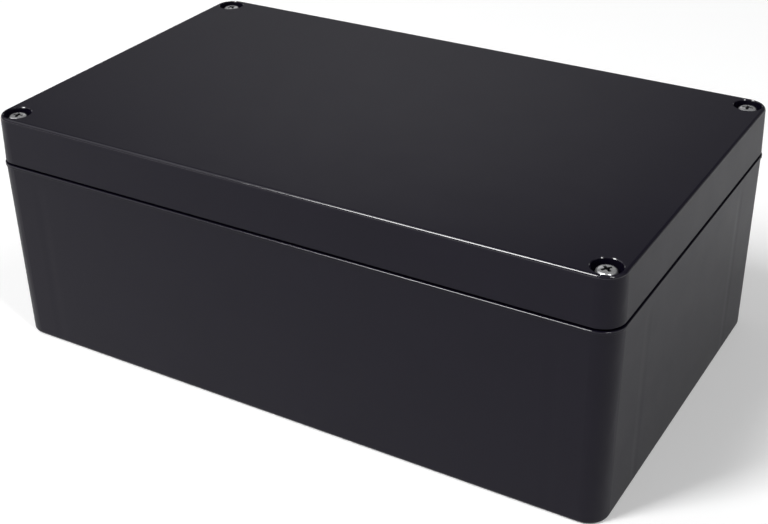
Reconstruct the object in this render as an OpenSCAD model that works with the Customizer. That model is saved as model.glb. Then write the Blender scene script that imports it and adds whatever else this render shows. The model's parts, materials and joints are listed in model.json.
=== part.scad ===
// Sealed project box: a deep moulded base, a moulded lid with a seal groove, and
// four lid screws that sit in counterbores and turn into brass inserts in the corners.
// Millimetres. Origin at the centre of the underside, X along the length, +Z up.

/* [Box] */
// Overall length, over the rim bead
box_l = 200; // [150:1:260]
// Overall width, over the rim bead
box_w = 120; // [95:1:180]
// Overall height
box_h = 75; // [50:1:140]
// Height of the lid, from the rim plane to the top face
lid_h = 15; // [12:0.5:25]
// Outside radius of the upright corners
corner_r = 6.5; // [3:0.5:9]

/* [Walls] */
// Wall of the base
wall = 3.4; // [2.8:0.1:5]
// Floor of the base
floor_t = 3; // [2:0.1:5]
// Skirt wall of the lid above its seal flange
lid_wall = 2.6; // [1.8:0.1:3.2]
// Top plate of the lid
lid_top_t = 3; // [2:0.1:4.5]
// How far each side of the base leans in from rim to floor
base_draft = 0.3; // [0.05:0.05:1]
// How far each side of the lid leans in from rim to top
lid_draft = 0.45; // [0.05:0.05:1]
// Radius round the top face of the lid
lid_edge_r = 0.9; // [0.3:0.1:1.5]
// Radius round the underside of the base
foot_edge_r = 1; // [0.3:0.1:2]

/* [Parting line] */
// Shadow gap between the rim of the base and the lower edge of the lid
seam_gap = 0.6; // [0.2:0.1:1.2]
// How far the rim bead stands out from the wall of the base
bead_out = 0.3; // [0.1:0.05:0.8]
// Height of the rim bead
bead_h = 1; // [0.7:0.1:2.5]
// Radius on the lower edge of the lid
lid_lower_r = 0.25; // [0.1:0.05:0.5]

/* [Seal] */
// Thickness of the tongue that stands on the rim of the base
tongue_t = 1.4; // [1:0.1:1.8]
// Height of the tongue above the rim
tongue_h = 2.5; // [1.5:0.1:4]
// Clearance on each side of the tongue in the groove of the lid
seal_clear = 0.3; // [0.2:0.05:0.5]
// Height of the gasket cord once it is squeezed
gasket_h = 1.5; // [1:0.1:2.5]
// Lip of the lid that hangs inside the base
lip_t = 1.6; // [1:0.1:2.5]
// How far the lip hangs below the rim
lip_drop = 2; // [0.5:0.5:5]
// Plastic above the groove
groove_roof = 2; // [1:0.1:3]
// Radius of the bends in the seal line
seal_r = 4.2; // [4:0.1:6]

/* [Corner wells] */
// Clear length of each corner well, along X
well_l = 11; // [9:0.5:16]
// Clear width of each corner well, along Y
well_w = 18.5; // [16:0.5:26]
// Wall between a corner well and the sealed space
well_wall = 2.2; // [1.6:0.1:4]
// Radius of the corners of each well
well_r = 2; // [1:0.5:3]
// Diameter of the wall mounting holes in the floor of the wells
mount_hole_d = 4.4; // [3:0.1:5.5]
// Mounting hole centre from the end wall's outer face
mount_inset_x = 8.7; // [7.5:0.1:10]
// Mounting hole centre from the side wall's outer face
mount_inset_y = 15.7; // [14.5:0.1:17]

/* [Lid screws] */
// Screw centre from the outer face of each wall
screw_inset = 5.8; // [5.4:0.1:7]
// Thread diameter
screw_d = 3; // [2.5:0.5:4]
// Length under the head
screw_len = 20; // [18:1:22]
// Diameter of the head
head_d = 5.6; // [5:0.1:7]
// Height of the head
head_h = 2.4; // [1.6:0.1:3]
// Depth of the head's top face below the top of the lid
head_sunk = 0.6; // [0.2:0.1:2]
// Rounding of the head's top edge
head_edge_r = 0.9; // [0.3:0.1:1.2]
// Width of each wing of the cross recess
recess_w = 0.9; // [0.5:0.1:1.2]
// Span of the cross recess
recess_span = 3.6; // [2.4:0.1:4]
// Span of the cross recess at its floor
recess_floor_span = 1.6; // [0.8:0.1:2]
// Depth of the cross recess
recess_depth = 1.5; // [0.8:0.1:1.8]
// Diameter of the counterbore in the lid
counterbore_d = 8.2; // [7.4:0.1:8.6]
// Chamfer round the mouth of the counterbore
counterbore_edge = 0.2; // [0.1:0.05:0.3]
// Clearance hole in the lid below the counterbore
lid_hole_d = 3.6; // [3.2:0.1:4.6]
// Wall of the sleeve round the counterbore
sleeve_wall = 1.4; // [1:0.1:2]
// Outer diameter of the sealing washer under the head
washer_d = 6.6; // [6:0.1:7]
// Thickness of the sealing washer
washer_t = 0.8; // [0.5:0.1:1.2]
// Gap all round the screw in the washer and in the thread
screw_clear = 0.05; // [0.02:0.01:0.1]

/* [Inserts] */
// Outer diameter of the brass inserts
insert_d = 4.6; // [4:0.1:5.6]
// Length of the brass inserts
insert_len = 8; // [5:0.5:10]
// Width of the groove round the middle of an insert
insert_groove_w = 1.2; // [0.6:0.1:2]
// Depth of that groove
insert_groove_depth = 0.3; // [0.1:0.05:0.4]
// Plastic round an insert
post_wall = 1.9; // [1.4:0.1:3]
// Free depth for the screw's tip below an insert
tip_room = 2.5; // [1:0.5:6]

/* [Board bosses] */
// Diameter of a boss
boss_d = 7; // [5:0.5:10]
// Height of a boss above the floor
boss_h = 6; // [3:0.5:12]
// Diameter of its pilot hole
pilot_d = 2.5; // [2:0.1:3.5]
// Plastic left below the pilot hole
pilot_floor = 1.5; // [1:0.1:2]
// Boss centre from the end wall's outer face
boss_inset_x = 25.7; // [24:0.1:40]
// Boss centre from the side wall's outer face
boss_inset_y = 13.7; // [10:0.1:25]
// Thickness of the web that ties a boss to the side wall
web_t = 1.6; // [1:0.1:2.5]
// How far a web stops below the top of its boss
web_drop = 1.5; // [0.5:0.5:3]

/* [Hidden] */
$fn = 96;
// How far a cut runs past the face that it opens
margin = 1;
// How far pieces that fuse reach into each other
eps = 0.01;

// The four corners, as signs of X and Y
FRONT_LEFT = [-1, -1];
FRONT_RIGHT = [1, -1];
BACK_LEFT = [-1, 1];
BACK_RIGHT = [1, 1];
CORNERS = [FRONT_LEFT, FRONT_RIGHT, BACK_LEFT, BACK_RIGHT];

// The walls at the rim, without the bead
rim_l = box_l - 2 * bead_out;
rim_w = box_w - 2 * bead_out;
rim_z = box_h - lid_h;
lid_z = rim_z + seam_gap;
lid_l = rim_l;
lid_w = rim_w;

// The sealed space is a cross: its arms pass between the corner wells
cavity_l = rim_l - 2 * wall;
cavity_w = rim_w - 2 * wall;
waist_l = cavity_l - 2 * (well_l + well_wall);
waist_w = cavity_w - 2 * (well_w + well_wall);

// Heights of the seal
tongue_z = rim_z + tongue_h;
groove_z = tongue_z + gasket_h;
flange_z = groove_z + groove_roof;
lid_inside_z = box_h - lid_top_t;

// Heights along a lid screw
head_z = box_h - head_sunk - head_h;
seat_z = head_z - washer_t;
tip_z = head_z - screw_len;
screw_x = rim_l / 2 - screw_inset;
screw_y = rim_w / 2 - screw_inset;
post_r = insert_d / 2 + post_wall;
sleeve_r = counterbore_d / 2 + sleeve_wall;
screw_bore_r = screw_d / 2 + screw_clear;

mount_x = rim_l / 2 - mount_inset_x;
mount_y = rim_w / 2 - mount_inset_y;
boss_x = rim_l / 2 - boss_inset_x;
boss_y = rim_w / 2 - boss_inset_y;
boss_z = floor_t + boss_h;

ABS_BLACK = [0.05, 0.05, 0.06];
RUBBER = [0.02, 0.02, 0.02];
BRASS = [0.78, 0.62, 0.28];
STEEL = [0.78, 0.78, 0.76];

// ---- Outlines ----

// Rectangle with rounded corners
module rounded_rect(l, w, r) {
    square([l - 2 * r, w], center = true);
    square([l, w - 2 * r], center = true);
    for (c = CORNERS)
        translate([c.x * (l / 2 - r), c.y * (w / 2 - r)])
            circle(r);
}

// What rounds the inside corner at a point, on the side that sx and sy give
module inside_corner(x, y, sx, sy, r) {
    translate([sx * x, sy * y])
        difference() {
            translate([sx > 0 ? 0 : -r, sy > 0 ? 0 : -r])
                square(r);
            translate([sx * r, sy * r])
                circle(r);
        }
}

// Outline of the sealed space, grown outwards all round
module seal_outline(grow) {
    rounded_rect(cavity_l + 2 * grow, waist_w + 2 * grow, seal_r + grow);
    rounded_rect(waist_l + 2 * grow, cavity_w + 2 * grow, seal_r + grow);
    for (c = CORNERS)
        inside_corner(waist_l / 2 + grow, waist_w / 2 + grow, c.x, c.y, seal_r - grow);
}

// Band that follows the seal line between two distances from the sealed space
module seal_band(inner, outer, z0, z1) {
    translate([0, 0, z0])
        linear_extrude(z1 - z0)
            difference() {
                seal_outline(outer);
                seal_outline(inner);
            }
}

// Half section of a wall that leans in by draft over height h, with its edges rounded.
// Each edge circle touches the leaning side and the flat end.
module wall_section(half, h, draft, low_r, high_r) {
    lean = atan(draft / h);
    low_x = half - low_r * (1 + sin(lean)) / cos(lean);
    high_x = half - draft - high_r * (1 - sin(lean)) / cos(lean);
    polygon([
        [0, 0],
        [low_x, 0],
        [low_x + low_r * cos(lean), low_r * (1 + sin(lean))],
        [high_x + high_r * cos(lean), h - high_r * (1 - sin(lean))],
        [high_x, h],
        [0, h]
    ]);
    if (low_r > 0)
        translate([low_x, low_r])
            circle(low_r);
    if (high_r > 0)
        translate([high_x, h - high_r])
            circle(high_r);
}

// Block with upright rounded corners, sides that lean in and rounded edges. The same
// section, as deep as the corner radius, is drawn out along the sides and turned round
// the corners, so the stretches meet face to face.
module moulded_block(l, w, r, h, draft, low_r, high_r) {
    half_l = l / 2 - r;
    half_w = w / 2 - r;
    translate([-half_l, -half_w, 0])
        cube([2 * half_l, 2 * half_w, h]);
    for (turn = [0, 180]) {
        rotate(turn)
            translate([half_l, 0, 0])
                rotate([90, 0, 0])
                    linear_extrude(2 * half_w, center = true)
                        wall_section(r, h, draft, low_r, high_r);
        rotate(turn + 90)
            translate([half_w, 0, 0])
                rotate([90, 0, 0])
                    linear_extrude(2 * half_l, center = true)
                        wall_section(r, h, draft, low_r, high_r);
    }
    for (c = CORNERS)
        translate([c.x * half_l, c.y * half_w, 0])
            rotate(c.y > 0 ? 45 - 45 * c.x : 225 + 45 * c.x)
                rotate_extrude(angle = 90)
                    wall_section(r, h, draft, low_r, high_r);
}

// Round post with the corner of the box behind it filled in
module corner_post(c, r, z0, z1) {
    translate([c.x * screw_x, c.y * screw_y, z0])
        linear_extrude(z1 - z0) {
            circle(r);
            scale([c.x, c.y])
                square(screw_inset);
        }
}

module at_screw(c, z) {
    translate([c.x * screw_x, c.y * screw_y, z])
        children();
}

// ---- Base ----

// Outside of the base, leaning in towards the underside, with the bead at the rim
module base_body() {
    translate([0, 0, rim_z])
        mirror([0, 0, 1])
            moulded_block(rim_l, rim_w, corner_r, rim_z, base_draft, 0, foot_edge_r);
    translate([0, 0, rim_z - bead_h])
        moulded_block(box_l, box_w, corner_r + bead_out, bead_h, 0, bead_out, bead_out);
}

module well_pocket(c) {
    x = rim_l / 2 - wall - well_l / 2;
    y = rim_w / 2 - wall - well_w / 2;
    translate([c.x * x, c.y * y, floor_t])
        linear_extrude(rim_z)
            rounded_rect(well_l, well_w, well_r);
}

module base_hollows() {
    translate([0, 0, floor_t])
        linear_extrude(box_h)
            seal_outline(0);
    for (c = CORNERS)
        well_pocket(c);
}

// Boss for a circuit board, tied to the side wall by a web
module boss(x, sy) {
    translate([x, sy * boss_y, floor_t - eps])
        cylinder(h = boss_h + eps, d = boss_d);
    translate([x - web_t / 2, sy > 0 ? boss_y : -rim_w / 2 + wall / 2, floor_t - eps])
        cube([web_t, boss_inset_y - wall / 2, boss_h - web_drop + eps]);
}

module base() {
    color(ABS_BLACK)
        difference() {
            union() {
                difference() {
                    base_body();
                    base_hollows();
                }
                intersection() {
                    base_body();
                    for (c = CORNERS)
                        corner_post(c, post_r, floor_t - eps, rim_z);
                }
                for (x = [-boss_x, 0, boss_x], sy = [-1, 1])
                    boss(x, sy);
                seal_band(0, tongue_t, rim_z - eps, tongue_z);
            }
            for (c = CORNERS) {
                at_screw(c, rim_z - insert_len)
                    cylinder(h = insert_len + margin, d = insert_d);
                at_screw(c, tip_z - tip_room)
                    cylinder(h = rim_z - tip_z, r = screw_bore_r);
                translate([c.x * mount_x, c.y * mount_y, -margin])
                    cylinder(h = floor_t + 2 * margin, d = mount_hole_d);
            }
            for (x = [-boss_x, 0, boss_x], sy = [-1, 1])
                translate([x, sy * boss_y, pilot_floor])
                    cylinder(h = boss_z, d = pilot_d);
        }
}

// ---- Lid ----

// The open underside of the lid, round its seal flange and its screw sleeves
module lid_hollow() {
    difference() {
        translate([0, 0, lid_z - margin])
            linear_extrude(lid_inside_z - lid_z + margin)
                rounded_rect(lid_l - 2 * lid_wall, lid_w - 2 * lid_wall, corner_r - lid_wall);
        seal_band(-seal_clear - lip_t, wall, lid_z - 2 * margin, flange_z);
        for (c = CORNERS)
            corner_post(c, sleeve_r, lid_z - 2 * margin, box_h);
    }
}

// Way of a lid screw through the lid: clearance hole, counterbore and chamfered mouth
module screw_way(c) {
    at_screw(c, rim_z - margin)
        cylinder(h = box_h, d = lid_hole_d);
    at_screw(c, seat_z)
        cylinder(h = box_h, d = counterbore_d);
    at_screw(c, box_h - counterbore_edge)
        cylinder(
            h = 2 * counterbore_edge,
            r1 = counterbore_d / 2,
            r2 = counterbore_d / 2 + 2 * counterbore_edge
        );
}

module lid() {
    color(ABS_BLACK)
        difference() {
            union() {
                difference() {
                    translate([0, 0, lid_z])
                        moulded_block(
                            lid_l, lid_w, corner_r, box_h - lid_z,
                            lid_draft, lid_lower_r, lid_edge_r
                        );
                    lid_hollow();
                }
                seal_band(-seal_clear - lip_t, -seal_clear, rim_z - lip_drop, lid_z + eps);
                for (c = CORNERS)
                    at_screw(c, rim_z)
                        cylinder(h = seam_gap + eps, r = post_r - seal_clear);
            }
            seal_band(-seal_clear, tongue_t + seal_clear, lid_z - margin, groove_z);
            for (c = CORNERS)
                screw_way(c);
        }
}

// Cord that fills the top of the groove, where the tongue squeezes it
module gasket() {
    color(RUBBER)
        seal_band(-seal_clear, tongue_t + seal_clear, tongue_z, groove_z);
}

// ---- Fasteners ----

module threaded_insert(c) {
    color(BRASS)
        at_screw(c, rim_z - insert_len)
            difference() {
                cylinder(h = insert_len, d = insert_d);
                translate([0, 0, (insert_len - insert_groove_w) / 2])
                    difference() {
                        cylinder(h = insert_groove_w, d = insert_d + margin);
                        cylinder(h = insert_groove_w, d = insert_d - 2 * insert_groove_depth);
                    }
                translate([0, 0, -margin])
                    cylinder(h = insert_len + 2 * margin, r = screw_bore_r);
            }
}

module screw_washer(c) {
    color(RUBBER)
        at_screw(c, seat_z)
            difference() {
                cylinder(h = washer_t, d = washer_d);
                translate([0, 0, -margin])
                    cylinder(h = washer_t + 2 * margin, r = screw_bore_r);
            }
}

// Cross recess whose four wings run in towards the floor, inside one cone
module cross_recess() {
    intersection() {
        cylinder(h = recess_depth, d1 = recess_floor_span, d2 = recess_span);
        for (a = [0, 90])
            rotate(a)
                translate([-recess_span / 2, -recess_w / 2, 0])
                    cube([recess_span, recess_w, recess_depth]);
    }
}

module lid_screw(c) {
    color(STEEL)
        at_screw(c, head_z)
            difference() {
                union() {
                    rotate_extrude()
                        wall_section(head_d / 2, head_h, 0, 0, head_edge_r);
                    translate([0, 0, -screw_len])
                        cylinder(h = screw_len, d = screw_d);
                }
                translate([0, 0, head_h - recess_depth])
                    cross_recess();
            }
}

base();
lid();
gasket();
threaded_insert(FRONT_LEFT);  // threaded_insert_front_left
threaded_insert(FRONT_RIGHT);  // threaded_insert_front_right
threaded_insert(BACK_LEFT);  // threaded_insert_back_left
threaded_insert(BACK_RIGHT);  // threaded_insert_back_right
screw_washer(FRONT_LEFT);  // screw_washer_front_left
screw_washer(FRONT_RIGHT);  // screw_washer_front_right
screw_washer(BACK_LEFT);  // screw_washer_back_left
screw_washer(BACK_RIGHT);  // screw_washer_back_right
lid_screw(FRONT_LEFT);  // lid_screw_front_left
lid_screw(FRONT_RIGHT);  // lid_screw_front_right
lid_screw(BACK_LEFT);  // lid_screw_back_left
lid_screw(BACK_RIGHT);  // lid_screw_back_right
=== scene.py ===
"""Sealed plastic project box: materials, detailed fasteners, floor, light and camera.

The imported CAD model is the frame. The two mouldings and the gasket stay as CAD nodes and
get smooth normals and materials. Screws, washers and inserts are built here in detail.
"""
import json
import math

import bmesh
import bpy
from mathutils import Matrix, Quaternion, Vector


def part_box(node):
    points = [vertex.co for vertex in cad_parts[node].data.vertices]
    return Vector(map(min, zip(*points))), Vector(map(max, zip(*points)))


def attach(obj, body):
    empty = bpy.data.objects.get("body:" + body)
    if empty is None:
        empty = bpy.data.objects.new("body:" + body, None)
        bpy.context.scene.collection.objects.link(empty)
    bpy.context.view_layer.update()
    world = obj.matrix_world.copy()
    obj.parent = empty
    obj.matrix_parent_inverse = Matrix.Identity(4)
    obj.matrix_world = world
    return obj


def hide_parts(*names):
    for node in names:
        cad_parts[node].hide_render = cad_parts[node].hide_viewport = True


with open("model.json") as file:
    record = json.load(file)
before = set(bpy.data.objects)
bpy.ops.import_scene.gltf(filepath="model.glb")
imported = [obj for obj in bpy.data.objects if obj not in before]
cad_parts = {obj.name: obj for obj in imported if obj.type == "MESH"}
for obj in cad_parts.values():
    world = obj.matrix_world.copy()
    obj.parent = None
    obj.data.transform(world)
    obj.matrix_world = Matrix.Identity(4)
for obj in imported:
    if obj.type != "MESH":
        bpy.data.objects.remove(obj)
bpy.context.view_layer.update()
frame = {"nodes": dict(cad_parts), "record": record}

CORNERS = ("front_left", "front_right", "back_left", "back_right")
MM = 0.001

# ---- Camera, as fitted to the edges of the box in the photograph ----
CAMERA_AT = (0.19140, -0.31812, 0.23687)
CAMERA_YAW = -0.5415
CAMERA_PITCH = 0.5234
CAMERA_ROLL = -0.0186
FOCAL_PIXELS = 1357.83
FRAME_WIDTH = 768
SENSOR_MM = 36.0


def make_camera():
    """The camera at the photograph's viewing angle."""
    data = bpy.data.cameras.new("camera")
    data.sensor_width = SENSOR_MM
    data.lens = SENSOR_MM * FOCAL_PIXELS / FRAME_WIDTH
    data.clip_start, data.clip_end = 0.01, 100.0
    camera = bpy.data.objects.new("camera", data)
    bpy.context.scene.collection.objects.link(camera)
    forward = Vector((
        math.sin(CAMERA_YAW) * math.cos(CAMERA_PITCH),
        math.cos(CAMERA_YAW) * math.cos(CAMERA_PITCH),
        -math.sin(CAMERA_PITCH),
    ))
    camera.location = CAMERA_AT
    camera.rotation_mode = "QUATERNION"
    camera.rotation_quaternion = (
        forward.to_track_quat("-Z", "Y") @ Quaternion((0, 0, 1), CAMERA_ROLL)
    )
    bpy.context.scene.camera = camera


# ---- Materials ----
# Colours are linear and bump distances are in metres.
# The opening whose inner faces give the place of the sink lines, how far inwards of them the
# lines lie, and how far below the lowest edge of the lid they start to fade and end
SINK_OPENING = "well_front_left"
SINK_INSET = 1.8 * MM
SINK_HALF = 3.0 * MM
SINK_DEPTH = 0.055 * MM
SINK_FADE, SINK_END = 6 * MM, 1 * MM
# How much rougher the outer walls are than the top. This holds down to the first depth from
# the outside and is gone at the second.
WALL_ROUGHER = 0.22
WALL_SKIN, WALL_SKIN_FADE = 2.2 * MM, 2.6 * MM
# Black ABS, in two patchy tones and where it is rubbed
ABS_DARK, ABS_LIGHT = (0.0044, 0.0034, 0.0090, 1), (0.0058, 0.0045, 0.0112, 1)
ABS_RUBBED = (0.012, 0.0105, 0.0175, 1)
ABS_WAVE, ABS_GRAIN = 0.12 * MM, 0.012 * MM
# Noise scales of its waviness, wear, tone, clouds of roughness and grain, in cells per metre
WAVE_CELLS, WEAR_CELLS, TONE_CELLS, CLOUD_CELLS, GRAIN_CELLS = 22.0, 35.0, 60.0, 90.0, 2600.0
# An edge is rubbed where its normal's height is past the first span and short of the second.
# The short edges get a share of it, by how far the normal turns to the long sides.
EDGE_STARTS, EDGE_ENDS = (0.08, 0.3), (0.9, 0.995)
LONG_EDGE, SHORT_EDGE_SHARE = (0.1, 0.35), 0.15
RUBBED_SMOOTHER = -0.08
RUBBER_DARK, RUBBER_DUST = (0.006, 0.006, 0.006, 1), (0.014, 0.014, 0.013, 1)
RUBBER_GRAIN = 0.01 * MM
DUST_CELLS, RUBBER_CELLS = 400.0, 3500.0
STEEL_DARK, STEEL_LIGHT = (0.74, 0.74, 0.75, 1), (0.93, 0.93, 0.95, 1)
BRASS_DARK, BRASS_LIGHT = (0.55, 0.38, 0.14, 1), (0.80, 0.60, 0.28, 1)
METAL_GRAIN = 0.004 * MM
METAL_WEAR_CELLS, METAL_CELLS = 900.0, 6000.0
# Painted shade for the screw's cross recess: a dark colour painted where shade falls in it, how
# softly it fades at its foot, and how much rougher it makes the metal
RECESS_PAINTED_SHADE = (0.02, 0.02, 0.022, 1)
PAINTED_SHADE_FADE = 0.1 * MM
# Shares of the recess's radius and top at which the painted shade starts to thin out
PAINTED_SHADE_RADIUS_SHARE, PAINTED_SHADE_TOP_SHARE = 0.9, 0.93
PAINTED_SHADE_ROUGHER = 0.3


class Nodes:
    """A small wrapper that adds and links the nodes of one material."""

    def __init__(self, tree):
        self.tree = tree

    def add(self, kind, inputs=None, **settings):
        """A node of this kind. Each input, by name or number, is a value or a socket."""
        node = self.tree.nodes.new(kind)
        for name, value in settings.items():
            setattr(node, name, value)
        for name, value in (inputs or {}).items():
            if isinstance(value, bpy.types.NodeSocket):
                self.tree.links.new(value, node.inputs[name])
            else:
                node.inputs[name].default_value = value
        return node

    def noise(self, where, scale, detail=2.0, rough=0.5, distortion=0.0):
        node = self.add("ShaderNodeTexNoise", {
            "Vector": where, "Scale": scale, "Detail": detail,
            "Roughness": rough, "Distortion": distortion,
        })
        return node.outputs["Fac"]

    def span(self, value, low, high, start=0.0, end=1.0):
        """Takes value from start..end to low..high, and holds it there outside that range."""
        node = self.add("ShaderNodeMapRange", {
            "Value": value, "From Min": start, "From Max": end,
            "To Min": low, "To Max": high,
        })
        return node.outputs["Result"]

    def blend(self, factor, first, second):
        """A mix of two colours. The numbers are the Mix node's sockets for colours."""
        node = self.add("ShaderNodeMix", data_type="RGBA")
        for socket, value in ((0, factor), (6, first), (7, second)):
            if isinstance(value, bpy.types.NodeSocket):
                self.tree.links.new(value, node.inputs[socket])
            else:
                node.inputs[socket].default_value = value
        return node.outputs[2]

    def bump(self, height, distance, normal=None):
        inputs = {"Height": height, "Distance": distance}
        if normal is not None:
            inputs["Normal"] = normal
        return self.add("ShaderNodeBump", inputs).outputs["Normal"]

    def math(self, operation, *values):
        """One Math node on one or two values or sockets."""
        inputs = dict(enumerate(values))
        return self.add("ShaderNodeMath", inputs, operation=operation).outputs[0]


def new_material(name):
    """An empty Principled material, its nodes, its shader and the place on the object."""
    material = bpy.data.materials.new(name)
    material.use_nodes = True
    material.node_tree.nodes.clear()
    nodes = Nodes(material.node_tree)
    shader = nodes.add("ShaderNodeBsdfPrincipled")
    output = nodes.add("ShaderNodeOutputMaterial")
    material.node_tree.links.new(shader.outputs["BSDF"], output.inputs["Surface"])
    where = nodes.add("ShaderNodeTexCoord").outputs["Object"]
    return material, nodes, shader, where


def link(nodes, value, socket):
    nodes.tree.links.new(value, socket)


def band(n, value, centre, half):
    """1 where value is at the centre, falling softly to 0 at half a width to either side."""
    away = n.math("ABSOLUTE", n.math("SUBTRACT", value, centre))
    node = n.add("ShaderNodeMapRange", {
        "Value": away, "From Min": 0.0, "From Max": half, "To Min": 1.0, "To Max": 0.0,
    }, interpolation_type="SMOOTHSTEP")
    return node.outputs["Result"]


def product(n, *values):
    """The values or sockets multiplied together."""
    made = values[0]
    for value in values[1:]:
        made = n.math("MULTIPLY", made, value)
    return made


def total(n, *values):
    """The values or sockets added up."""
    made = values[0]
    for value in values[1:]:
        made = n.math("ADD", made, value)
    return made


def sink_lines(n, where):
    """Faint sinks on the outside of the base, where the walls of the screw wells join it."""
    openings = {box["name"]: box["box_m"] for box in frame["record"]["physics"]["openings"]}
    low, high = openings[SINK_OPENING]
    x_face, y_face = (min(abs(low[i]), abs(high[i])) for i in (0, 1))
    lid_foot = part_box("lid")[0].z
    axis = n.add("ShaderNodeSeparateXYZ", {"Vector": where})
    lines = []
    for name, face in (("X", x_face), ("Y", y_face)):
        side = n.math("ABSOLUTE", axis.outputs[name])
        lines.append(band(n, side, face - SINK_INSET, SINK_HALF))
    below = n.span(axis.outputs["Z"], 1.0, 0.0, lid_foot - SINK_FADE, lid_foot - SINK_END)
    return product(n, n.math("MAXIMUM", *lines), below, -1.0)


def outside(n, where):
    """1 on the outer walls of the mouldings and 0 further in."""
    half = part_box("base")[1]
    axis = n.add("ShaderNodeSeparateXYZ", {"Vector": where})
    out = []
    for name, edge in (("X", half.x), ("Y", half.y)):
        side = n.math("ABSOLUTE", axis.outputs[name])
        out.append(n.span(side, 0.0, 1.0, edge - WALL_SKIN_FADE, edge - WALL_SKIN))
    return n.math("MAXIMUM", *out)


def abs_material(name):
    """Black ABS: fine grain, faint waviness and sinks, and long edges rubbed smooth."""
    material, n, shader, where = new_material(name)
    normal = n.add("ShaderNodeSeparateXYZ", {
        "Vector": n.add("ShaderNodeTexCoord").outputs["Normal"],
    })
    facing = normal.outputs["Z"]
    long_side = n.math("ABSOLUTE", normal.outputs["Y"])
    edge = product(
        n, n.span(facing, 0.0, 1.0, *EDGE_STARTS), n.span(facing, 1.0, 0.0, *EDGE_ENDS),
        n.span(long_side, SHORT_EDGE_SHARE, 1.0, *LONG_EDGE),
    )
    rubbed = product(n, edge, n.span(n.noise(where, WEAR_CELLS, 3.0), 0.75, 1.0, 0.3, 0.6))
    colour = n.blend(n.noise(where, TONE_CELLS, 3.0), ABS_DARK, ABS_LIGHT)
    link(n, n.blend(rubbed, colour, ABS_RUBBED), shader.inputs["Base Color"])
    grain = n.noise(where, GRAIN_CELLS, 3.0, 0.6)
    cloud = n.noise(where, CLOUD_CELLS, 2.0)
    upright = n.span(n.math("ABSOLUTE", facing), 1.0, 0.0, 0.05, 0.5)
    walls = product(n, upright, outside(n, where))
    rough = total(
        n, n.span(grain, 0.17, 0.24), n.span(cloud, -0.02, 0.03),
        product(n, walls, WALL_ROUGHER), product(n, rubbed, RUBBED_SMOOTHER),
    )
    link(n, rough, shader.inputs["Roughness"])
    link(n, rubbed, shader.inputs["Coat Weight"])
    shader.inputs["Coat Roughness"].default_value = 0.1
    wave = n.bump(n.noise(where, WAVE_CELLS, 1.0), ABS_WAVE)
    sunk = n.bump(sink_lines(n, where), SINK_DEPTH, wave)
    link(n, n.bump(grain, ABS_GRAIN, sunk), shader.inputs["Normal"])
    shader.inputs["IOR"].default_value = 1.5
    shader.inputs["Specular IOR Level"].default_value = 0.16
    return material


def rubber_material(name):
    """Matt black rubber with a little dust."""
    material, n, shader, where = new_material(name)
    dust = n.noise(where, DUST_CELLS, 4.0, 0.6)
    link(n, n.blend(dust, RUBBER_DARK, RUBBER_DUST), shader.inputs["Base Color"])
    link(n, n.span(dust, 0.62, 0.82), shader.inputs["Roughness"])
    link(n, n.bump(n.noise(where, RUBBER_CELLS, 2.0), RUBBER_GRAIN), shader.inputs["Normal"])
    shader.inputs["Specular IOR Level"].default_value = 0.3
    return material


def metal_material(name, dark, light, rough_low, rough_high, metallic=1.0, pit=None):
    """Bare or plated metal with fine wear and tarnish.

    pit gives the radius, foot and top of a recess into which shade is painted, darkening and
    roughening the metal.
    """
    material, n, shader, where = new_material(name)
    wear = n.noise(where, METAL_WEAR_CELLS, 4.0, 0.6, 0.4)
    colour = n.blend(wear, dark, light)
    rough = n.span(wear, rough_low, rough_high, 0.3, 0.7)
    if pit:
        radius, foot, top = pit
        axis = n.add("ShaderNodeSeparateXYZ", {"Vector": where})
        flat = n.add("ShaderNodeCombineXYZ", {"X": axis.outputs["X"], "Y": axis.outputs["Y"]})
        away = n.add("ShaderNodeVectorMath", {0: flat.outputs[0]}, operation="LENGTH")
        # Painted shade: the metal's colour is darkened inside the recess, where shade falls
        painted_shade = product(
            n, n.span(away.outputs["Value"], 1.0, 0.0, radius * PAINTED_SHADE_RADIUS_SHARE, radius),
            n.span(axis.outputs["Z"], 1.0, 0.0, top * PAINTED_SHADE_TOP_SHARE, top),
            n.span(axis.outputs["Z"], 0.0, 1.0, foot, foot + PAINTED_SHADE_FADE),
        )
        colour = n.blend(painted_shade, colour, RECESS_PAINTED_SHADE)
        rough = total(n, rough, product(n, painted_shade, PAINTED_SHADE_ROUGHER))
    link(n, colour, shader.inputs["Base Color"])
    link(n, rough, shader.inputs["Roughness"])
    link(n, n.bump(n.noise(where, METAL_CELLS, 2.0), METAL_GRAIN), shader.inputs["Normal"])
    shader.inputs["Metallic"].default_value = metallic
    return material


def dress(thing, material):
    thing.data.materials.clear()
    thing.data.materials.append(material)


# Points of a CAD mesh this close are one, and a fold past this angle stays sharp
WELD_GAP = 0.002 * MM
CAD_SHARP = math.radians(32)


def smooth_normals(thing):
    """Joins the CAD faces at their edges, keeps the sharp edges and lets flats rule the normals."""
    weld = thing.modifiers.new("weld", "WELD")
    weld.merge_threshold = WELD_GAP
    split = thing.modifiers.new("sharp_edges", "EDGE_SPLIT")
    split.split_angle = CAD_SHARP
    weighted = thing.modifiers.new("flat_first", "WEIGHTED_NORMAL")
    weighted.mode = "FACE_AREA"
    weighted.weight = 100
    weighted.keep_sharp = True


# ---- Meshes ----
# Sides of a turned shape, the fold past which an edge is sharp, and the gap under which points
# are one
SIDES = 48
SHARP = math.radians(30)
MERGED = 1e-7


def new_piece(name, mesh, material, place, turned, body, replaced):
    """A piece of the object that stands for a CAD node and rides on its body."""
    thing = bpy.data.objects.new(name, mesh)
    bpy.context.scene.collection.objects.link(thing)
    dress(thing, material)
    thing.location = place
    thing.rotation_euler = (0, 0, math.radians(turned))
    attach(thing, body)
    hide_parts(replaced)


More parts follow.
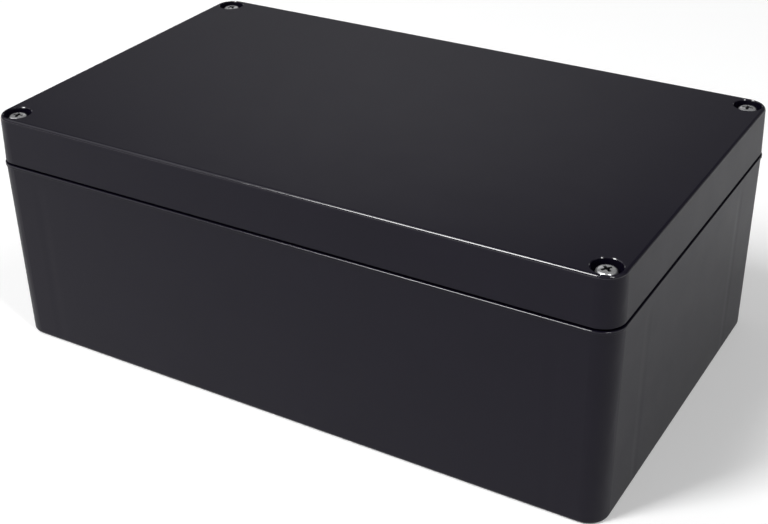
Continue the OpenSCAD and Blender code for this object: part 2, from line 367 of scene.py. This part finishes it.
def finish_mesh(name, shape):
    """A bmesh made into a mesh, cleaned of what collapsed and smooth but for sharp edges."""
    bmesh.ops.remove_doubles(shape, verts=shape.verts, dist=MERGED)
    bmesh.ops.dissolve_degenerate(shape, edges=shape.edges, dist=MERGED)
    bmesh.ops.recalc_face_normals(shape, faces=shape.faces)
    for face in shape.faces:
        face.smooth = True
    for edge in shape.edges:
        edge.smooth = len(edge.link_faces) == 2 and edge.calc_face_angle() < SHARP
    mesh = bpy.data.meshes.new(name)
    shape.to_mesh(mesh)
    shape.free()
    return mesh


def ring(shape, radius, height):
    """One ring of vertices. radius is a number or a function of the angle."""
    made = []
    for i in range(SIDES):
        angle = 2 * math.pi * i / SIDES
        r = radius(angle) if callable(radius) else radius
        made.append(shape.verts.new((r * math.cos(angle), r * math.sin(angle), height)))
    return made


def bridge(shape, low, high):
    """Faces between two rings of SIDES vertices."""
    for i in range(SIDES):
        k = (i + 1) % SIDES
        shape.faces.new((low[i], low[k], high[k], high[i]))


def lathe(shape, profile):
    """Rings for a list of (radius, height), bridged one to the next."""
    rings = [ring(shape, r, z) for r, z in profile]
    for low, high in zip(rings, rings[1:]):
        bridge(shape, low, high)
    return rings


def thread_radius(phase, outer, inner):
    """Radius of a 60 degree thread at a phase of 0 to 1 from one crest to the next."""
    along = abs((phase + 0.5) % 1 - 0.5) * PITCH
    return max(inner, min(outer, outer - (along - PITCH / 16) / math.tan(math.pi / 6)))


def helical_wall(shape, low, high, radius):
    """A threaded wall whose rows climb one pitch a turn, cut square at both ends.

    radius(angle, height) gives the wall, and the two end rings are returned.
    """
    turns = math.ceil((high - low) / PITCH) + 1
    heights = [low + PITCH * (k - 1 + s) for k in range(turns + 1) for s in THREAD_ROWS]
    columns = []
    for i in range(SIDES):
        angle = 2 * math.pi * i / SIDES
        column = []
        for height in heights:
            z = min(max(height + PITCH * i / SIDES, low), high)
            r = radius(angle, z)
            column.append(shape.verts.new((r * math.cos(angle), r * math.sin(angle), z)))
        columns.append(column)
    for i in range(SIDES):
        after = columns[(i + 1) % SIDES]
        shift = len(THREAD_ROWS) if i == SIDES - 1 else 0
        for row in range(len(heights) - 1 - shift):
            corners = (
                columns[i][row], after[row + shift],
                after[row + 1 + shift], columns[i][row + 1],
            )
            if len({tuple(round(x, 9) for x in v.co) for v in corners}) > 2:
                shape.faces.new(corners)
    bottom = [column[0] for column in columns]
    top = [column[-1] for column in columns]
    return bottom, top


def arc(centre_r, centre_z, radius, start, end, count):
    """Points of a profile on an arc, its angles in degrees from outwards to up."""
    return [
        (
            centre_r + radius * math.cos(math.radians(start + (end - start) * k / count)),
            centre_z + radius * math.sin(math.radians(start + (end - start) * k / count)),
        )
        for k in range(count + 1)
    ]


# ---- Fasteners, in metres about their own axis ----
PITCH = 0.5 * MM
# Where the rows of a threaded wall lie in one pitch, from crest over the root to crest
THREAD_ROWS = (0, 1 / 16, 0.25, 0.42, 0.58, 0.75, 15 / 16)
THREAD_OUTER = 1.5 * MM
THREAD_ROOT = 1.19 * MM
SCREW_RUN_OUT = 1.2 * MM
# The tip starts this much under the thread's root and widens over the chamfer
TIP_CHAMFER = 0.5 * MM
TIP_SMALLER = 0.25 * MM
TIP_WIDENS = 0.5 * MM
HEAD_HEIGHT = 2.4 * MM
HEAD_CROWN = 0.12 * MM
HEAD_SHOULDER = 1.0 * MM
HEAD_FOOT_ROUND = 0.12 * MM
# Half span and half width of the cross recess, and how deep each pair lies, in mm. The first
# lies above the head, so that the cut comes out clean.
RECESS_LEVELS = (
    (1.85, 0.50, -0.2), (1.62, 0.44, 0.0), (1.36, 0.38, 0.55), (1.05, 0.33, 1.1), (0.5, 0.26, 1.5),
)
RECESS_DEPTH = RECESS_LEVELS[-1][2] * MM
RECESS_POINT = 0.22 * MM
# How far the core reaches past an arm's half width, as a share of it: 0.16 mm at the surface
RECESS_CORE = 0.16 / RECESS_LEVELS[1][1]
# Where shade is painted into the recess: its radius, foot and top
PAINTED_SHADE_IN_RECESS = (1.9 * MM, 0.4 * MM, HEAD_HEIGHT - 0.14 * MM)
INSERT_THREAD_OUTER = 1.535 * MM
INSERT_THREAD_INNER = 1.25 * MM
INSERT_LEAD_IN = 0.8
# Depths below the insert's outside: plain foot, groove, pilot rim at the top, and knurl
FOOT_UNDER, NECK_UNDER, TOP_UNDER, KNURL_DEPTH = 0.18 * MM, 0.3 * MM, 0.06 * MM, 0.16 * MM
INSERT_GROOVE = 1.2 * MM
INSERT_RIM = 0.3 * MM
KNURL_GAP = 0.1 * MM
# Rows of a knurled band, and how far its teeth turn from one row to the next, in tooth angle
KNURL_ROWS, KNURL_TURN = 8, 0.35
WASHER_ROUND = 0.22 * MM
WASHER_BORE_EDGE = 0.06 * MM
WASHER_CLEARANCE = 0.05 * MM


def screw_mesh(size):
    """A pan head screw: crowned head, rolled thread and chamfered tip. The cross recess is cut into
    it by cut_recess.
    """
    radius = size.x / 2
    length = size.z - HEAD_HEIGHT

    def wall(angle, z):
        thread = thread_radius((z / PITCH - angle / (2 * math.pi)) % 1, THREAD_OUTER, THREAD_ROOT)
        fade = min(1, max(0, -z / SCREW_RUN_OUT))
        tip = THREAD_ROOT - TIP_SMALLER + (z + length) / TIP_CHAMFER * TIP_WIDENS
        return min(THREAD_OUTER - (THREAD_OUTER - thread) * fade, tip)

    shape = bmesh.new()
    bottom, top = helical_wall(shape, -length, 0, wall)
    shape.faces.new(list(reversed(bottom)))
    under = arc(radius - HEAD_FOOT_ROUND, HEAD_FOOT_ROUND, HEAD_FOOT_ROUND, -90, 0, 3)
    shoulder_z = HEAD_HEIGHT - HEAD_CROWN - HEAD_SHOULDER
    shoulder = arc(radius - HEAD_SHOULDER, shoulder_z, HEAD_SHOULDER, 0, 84, 8)
    crown_r, crown_z = shoulder[-1]
    crown = [
        (crown_r * k, HEAD_HEIGHT - (HEAD_HEIGHT - crown_z) * k * k)
        for k in (0.85, 0.65, 0.4, 0.15)
    ]
    rings = lathe(shape, under + shoulder + crown)
    bridge(shape, top, rings[0])
    shape.faces.new(rings[-1])
    return finish_mesh("lid_screw", shape)


def recess_mesh():
    """The driver's cross, as a closed solid that narrows downwards."""
    shape = bmesh.new()
    rings = []
    for span, width, depth in RECESS_LEVELS:
        core = width + RECESS_CORE * width
        outline = []
        for c, s in ((1, 0), (0, 1), (-1, 0), (0, -1)):
            for x, y in ((span, -width), (span, width), (core, width), (width, core)):
                outline.append(shape.verts.new((
                    (x * c - y * s) * MM, (x * s + y * c) * MM, HEAD_HEIGHT - depth * MM,
                )))
        rings.append(outline)
    for high, low in zip(rings, rings[1:]):
        for i in range(len(high)):
            k = (i + 1) % len(high)
            shape.faces.new((low[i], low[k], high[k], high[i]))
    shape.faces.new(rings[0])
    pit = shape.verts.new((0, 0, HEAD_HEIGHT - RECESS_DEPTH - RECESS_POINT))
    for i in range(len(rings[-1])):
        shape.faces.new((rings[-1][(i + 1) % len(rings[-1])], rings[-1][i], pit))
    bmesh.ops.recalc_face_normals(shape, faces=shape.faces)
    mesh = bpy.data.meshes.new("recess")
    shape.to_mesh(mesh)
    shape.free()
    return mesh


def applied(mesh, kind, settings):
    """The mesh with one modifier applied."""
    thing = bpy.data.objects.new("work", mesh)
    bpy.context.scene.collection.objects.link(thing)
    modifier = thing.modifiers.new(kind.lower(), kind)
    for key, value in settings.items():
        setattr(modifier, key, value)
    graph = bpy.context.evaluated_depsgraph_get()
    made = bpy.data.meshes.new_from_object(thing.evaluated_get(graph))
    bpy.data.objects.remove(thing)
    return made


def cut_recess(mesh):
    """The screw with the driver's recess cut out of its head."""
    tool = bpy.data.objects.new("recess", recess_mesh())
    bpy.context.scene.collection.objects.link(tool)
    cutting = {"object": tool, "operation": "DIFFERENCE", "solver": "EXACT"}
    cut = applied(mesh, "BOOLEAN", cutting)
    bpy.data.objects.remove(tool)
    shape = bmesh.new()
    shape.from_mesh(cut)
    return finish_mesh("lid_screw", shape)


def insert_mesh(size, foot_from_head):
    """A brass insert: two knurled bands, a groove between them and a threaded bore.

    foot_from_head is the height of its foot over the foot of the screw's head. It puts the
    two threads in step.
    """
    radius = size.x / 2
    length = size.z
    teeth = SIDES / 4

    def knurl(slant):
        return lambda angle: radius - KNURL_DEPTH * (0.5 - 0.5 * math.cos(teeth * angle + slant))

    def knurled(foot, height, turn):
        return [
            (knurl(turn * k), foot + height * k / KNURL_ROWS) for k in range(KNURL_ROWS + 1)
        ]

    def bore(angle, z):
        thread = thread_radius(
            ((z + foot_from_head) / PITCH - angle / (2 * math.pi)) % 1,
            INSERT_THREAD_OUTER, INSERT_THREAD_INNER,
        )
        lead_in = INSERT_THREAD_OUTER - min(z, length - z) * INSERT_LEAD_IN
        return max(thread, lead_in)

    shape = bmesh.new()
    low, high = helical_wall(shape, 0, length, bore)
    half = 0.5 * (length - INSERT_GROOVE)
    knurled_height = half - INSERT_RIM - 2 * KNURL_GAP
    foot, neck, top = (radius - under for under in (FOOT_UNDER, NECK_UNDER, TOP_UNDER))
    rows = (
        [(foot, 0.0), (foot, INSERT_RIM)]
        + knurled(INSERT_RIM + KNURL_GAP, knurled_height, KNURL_TURN)
        + [(neck, half), (neck, length - half)]
        + knurled(length - half + KNURL_GAP, knurled_height, -KNURL_TURN)
        + [(top, length - INSERT_RIM), (top, length)]
    )
    rings = lathe(shape, rows)
    bridge(shape, low, rings[0])
    bridge(shape, high, rings[-1])
    return finish_mesh("threaded_insert", shape)


def washer_mesh(size, bore):
    """A sealing washer with a well rounded rim and an eased bore."""
    centre_r = size.x / 2 - WASHER_ROUND
    eased = bore + WASHER_BORE_EDGE
    profile = (
        [(bore, WASHER_BORE_EDGE), (bore, size.z - WASHER_BORE_EDGE), (eased, size.z)]
        + list(reversed(arc(centre_r, size.z - WASHER_ROUND, WASHER_ROUND, 0, 90, 5)))
        + list(reversed(arc(centre_r, WASHER_ROUND, WASHER_ROUND, -90, 0, 5)))
        + [(eased, 0.0)]
    )
    shape = bmesh.new()
    rings = lathe(shape, profile)
    bridge(shape, rings[-1], rings[0])
    return finish_mesh("screw_washer", shape)


def size_of(node):
    """Length, width and height of a CAD node."""
    low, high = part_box(node)
    return high - low


def foot_of(node):
    """The middle of the underside of a CAD node."""
    low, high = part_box(node)
    return Vector(((low.x + high.x) / 2, (low.y + high.y) / 2, low.z))


# ---- The pieces ----
ABS = abs_material("black_abs")
RUBBER = rubber_material("black_rubber")
# The screw steel gets painted shade in its cross recess
STEEL = metal_material(
    "plated_steel", STEEL_DARK, STEEL_LIGHT, 0.16, 0.3, metallic=0.9, pit=PAINTED_SHADE_IN_RECESS,
)
BRASS = metal_material("brass", BRASS_DARK, BRASS_LIGHT, 0.24, 0.42)

for node in ("base", "lid"):
    dress(frame["nodes"][node], ABS)
    smooth_normals(frame["nodes"][node])
dress(frame["nodes"]["gasket"], RUBBER)

# How each screw was left when it was tightened, in degrees. Its washer and insert are placed
# at the same turn.
SCREW_TURNED = {"front_left": 20, "front_right": -38, "back_left": 63, "back_right": 8}
SCREW_SIZE, INSERT_SIZE, WASHER_SIZE = (
    size_of(kind + CORNERS[0]) for kind in ("lid_screw_", "threaded_insert_", "screw_washer_")
)
HEAD_FROM_FOOT = SCREW_SIZE.z - HEAD_HEIGHT
INSERT_FROM_HEAD = (
    foot_of("threaded_insert_" + CORNERS[0]).z - foot_of("lid_screw_" + CORNERS[0]).z
    - HEAD_FROM_FOOT
)
SCREW_MESH = cut_recess(screw_mesh(SCREW_SIZE))
INSERT_MESH = insert_mesh(INSERT_SIZE, INSERT_FROM_HEAD)
WASHER_MESH = washer_mesh(WASHER_SIZE, THREAD_OUTER + WASHER_CLEARANCE)

for corner in CORNERS:
    for kind, mesh, material, body, slot, rise in (
        ("lid_screw_", SCREW_MESH, STEEL, "screw_" + corner, "screw_steel", HEAD_FROM_FOOT),
        ("screw_washer_", WASHER_MESH, RUBBER, "washer_" + corner, "black_rubber", 0),
        ("threaded_insert_", INSERT_MESH, BRASS, "base", "brass", 0),
    ):
        node = kind + corner
        place = foot_of(node) + Vector((0, 0, rise))
        new_piece(
            "detailed_" + node, mesh, material, place, SCREW_TURNED[corner], body, node
        )


# ---- Floor, light and camera ----
FLOOR_RADIUS = 30.0
FLOOR_WHITE = (0.86, 0.86, 0.86, 1)
# The glow that camera, glossy and transmission rays see: it shows in gloss and casts no light
FLOOR_GLOW = 0.22


def make_floor():
    """A plain white floor that keeps the shadow of the object."""
    mesh = bpy.data.meshes.new("floor")
    shape = bmesh.new()
    bmesh.ops.create_circle(shape, cap_ends=True, segments=64, radius=FLOOR_RADIUS)
    shape.to_mesh(mesh)
    shape.free()
    floor = bpy.data.objects.new("floor", mesh)
    bpy.context.scene.collection.objects.link(floor)
    material = bpy.data.materials.new("floor")
    material.use_nodes = True
    material.node_tree.nodes.clear()
    n = Nodes(material.node_tree)
    diffuse = n.add("ShaderNodeBsdfDiffuse", {"Color": FLOOR_WHITE})
    path = n.add("ShaderNodeLightPath")
    seen = path.outputs["Is Camera Ray"]
    for kind in ("Is Glossy Ray", "Is Transmission Ray"):
        seen = n.math("MAXIMUM", seen, path.outputs[kind])
    emission = n.add("ShaderNodeEmission", {"Strength": product(n, seen, FLOOR_GLOW)})
    surface = n.add("ShaderNodeAddShader", {0: diffuse.outputs[0], 1: emission.outputs[0]})
    output = n.add("ShaderNodeOutputMaterial")
    link(n, surface.outputs[0], output.inputs["Surface"])
    dress(floor, material)


# The backdrop as the gloss sees it: level at each height of the ray's direction, and the
# centre and half spans of a soft pale patch in it, in degrees from +y and in height
BACKDROP = ((0.0, 1.0), (0.1, 1.0), (0.18, 0.35), (0.27, 0.16), (0.5, 0.17), (1.0, 0.25))
PATCH_TURN, PATCH_TURN_HALF = -31.0, 26.0
PATCH_UP, PATCH_UP_HALF = 0.42, 0.14
PATCH_LEVEL = 0.72
# The world as diffuse surfaces see it, the same from all sides
AMBIENT = 0.27
# Name, place, target, size and watts of each lamp
SOFTBOXES = (
    ("softbox_front", (-0.78, -1.155, 1.82), (0.05, -0.06, 0.075), (0.47, 1.18), 37.0),
    ("softbox_side", (-1.28, -0.64, 1.81), (0, 0, 0.05), (2.1, 2.1), 7.5),
    ("softbox_right", (1.05, -0.42, 1.6), (0.09, -0.05, 0.075), (0.16, 0.9), 8.0),
)


def make_world():
    """An even world for diffuse light.

    Gloss and the camera see a pale backdrop low down and a dim room with a pale patch above.
    """
    world = bpy.data.worlds.new("studio")
    bpy.context.scene.world = world
    world.use_nodes = True
    world.node_tree.nodes.clear()
    n = Nodes(world.node_tree)
    axis = n.add("ShaderNodeSeparateXYZ", {
        "Vector": n.add("ShaderNodeTexCoord").outputs["Generated"],
    })
    up = axis.outputs["Z"]
    ramp = n.add("ShaderNodeValToRGB", {"Fac": up})
    stops = ramp.color_ramp.elements
    while len(stops) < len(BACKDROP):
        stops.new(0.5)
    for stop, (height, level) in zip(stops, BACKDROP):
        stop.position = height
        stop.color = (level, level, level, 1)
    turn = n.math("DEGREES", n.math("ARCTAN2", axis.outputs["X"], axis.outputs["Y"]))
    patch = product(
        n, band(n, turn, PATCH_TURN, PATCH_TURN_HALF), band(n, up, PATCH_UP, PATCH_UP_HALF),
        PATCH_LEVEL,
    )
    backdrop = total(n, ramp.outputs["Color"], patch)
    diffuse = n.add("ShaderNodeLightPath").outputs["Is Diffuse Ray"]
    level = n.add("ShaderNodeMix", {0: diffuse, 2: backdrop, 3: AMBIENT}, data_type="FLOAT")
    background = n.add("ShaderNodeBackground", {"Strength": level.outputs[0]})
    output = n.add("ShaderNodeOutputWorld")
    link(n, background.outputs[0], output.inputs["Surface"])


def softbox(name, place, target, size, power):
    """A rectangular area lamp that faces its target."""
    data = bpy.data.lights.new(name, "AREA")
    data.shape = "RECTANGLE"
    data.size, data.size_y = size
    data.energy = power
    light = bpy.data.objects.new(name, data)
    bpy.context.scene.collection.objects.link(light)
    light.location = place
    aim = Vector(target) - Vector(place)
    light.rotation_euler = aim.to_track_quat("-Z", "Y").to_euler()


make_floor()
make_world()
for lamp in SOFTBOXES:
    softbox(*lamp)
make_camera()
bpy.context.scene.view_settings.view_transform = "Standard"

bpy.context.view_layer.update()
